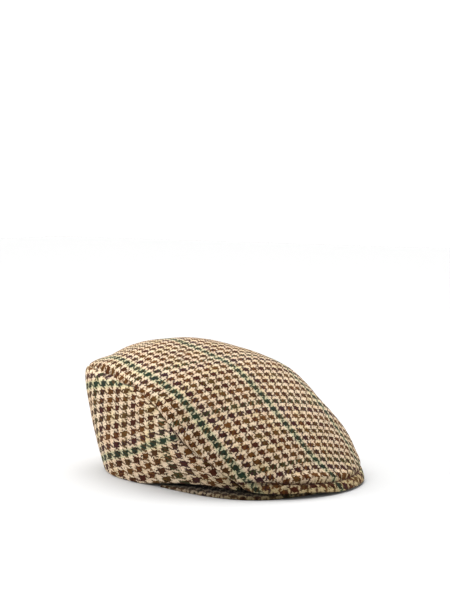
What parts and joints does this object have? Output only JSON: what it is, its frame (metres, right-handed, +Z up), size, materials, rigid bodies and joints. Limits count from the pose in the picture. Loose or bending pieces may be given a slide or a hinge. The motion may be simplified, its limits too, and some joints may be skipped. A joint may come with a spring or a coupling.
{
  "type": "flat cap",
  "caption": "Tweed flat cap with a long top panel drawn forward over a stiff crescent peak, low side walls and a hollow head opening.",
  "frame": {"origin": "middle of the outline on the surface the cap rests on", "axes": "+Z up, +Y from the peak to the back of the cap, +X to the wearer's left"},
  "size_m": [0.208, 0.2711, 0.119],
  "materials": {
    "tweed_top": "brown and cream houndstooth wool tweed with thin green stripes",
    "tweed_side_left": "the same tweed cut for the left wall",
    "tweed_side_right": "the same tweed cut for the right wall",
    "tweed_peak": "the same tweed stretched over the peak board"
  },
  "bodies": {
    "root": {"top_panel": "tweed_top", "side_panel_left": "tweed_side_left", "side_panel_right": "tweed_side_right", "peak": "tweed_peak"}
  },
  "joints": []
}
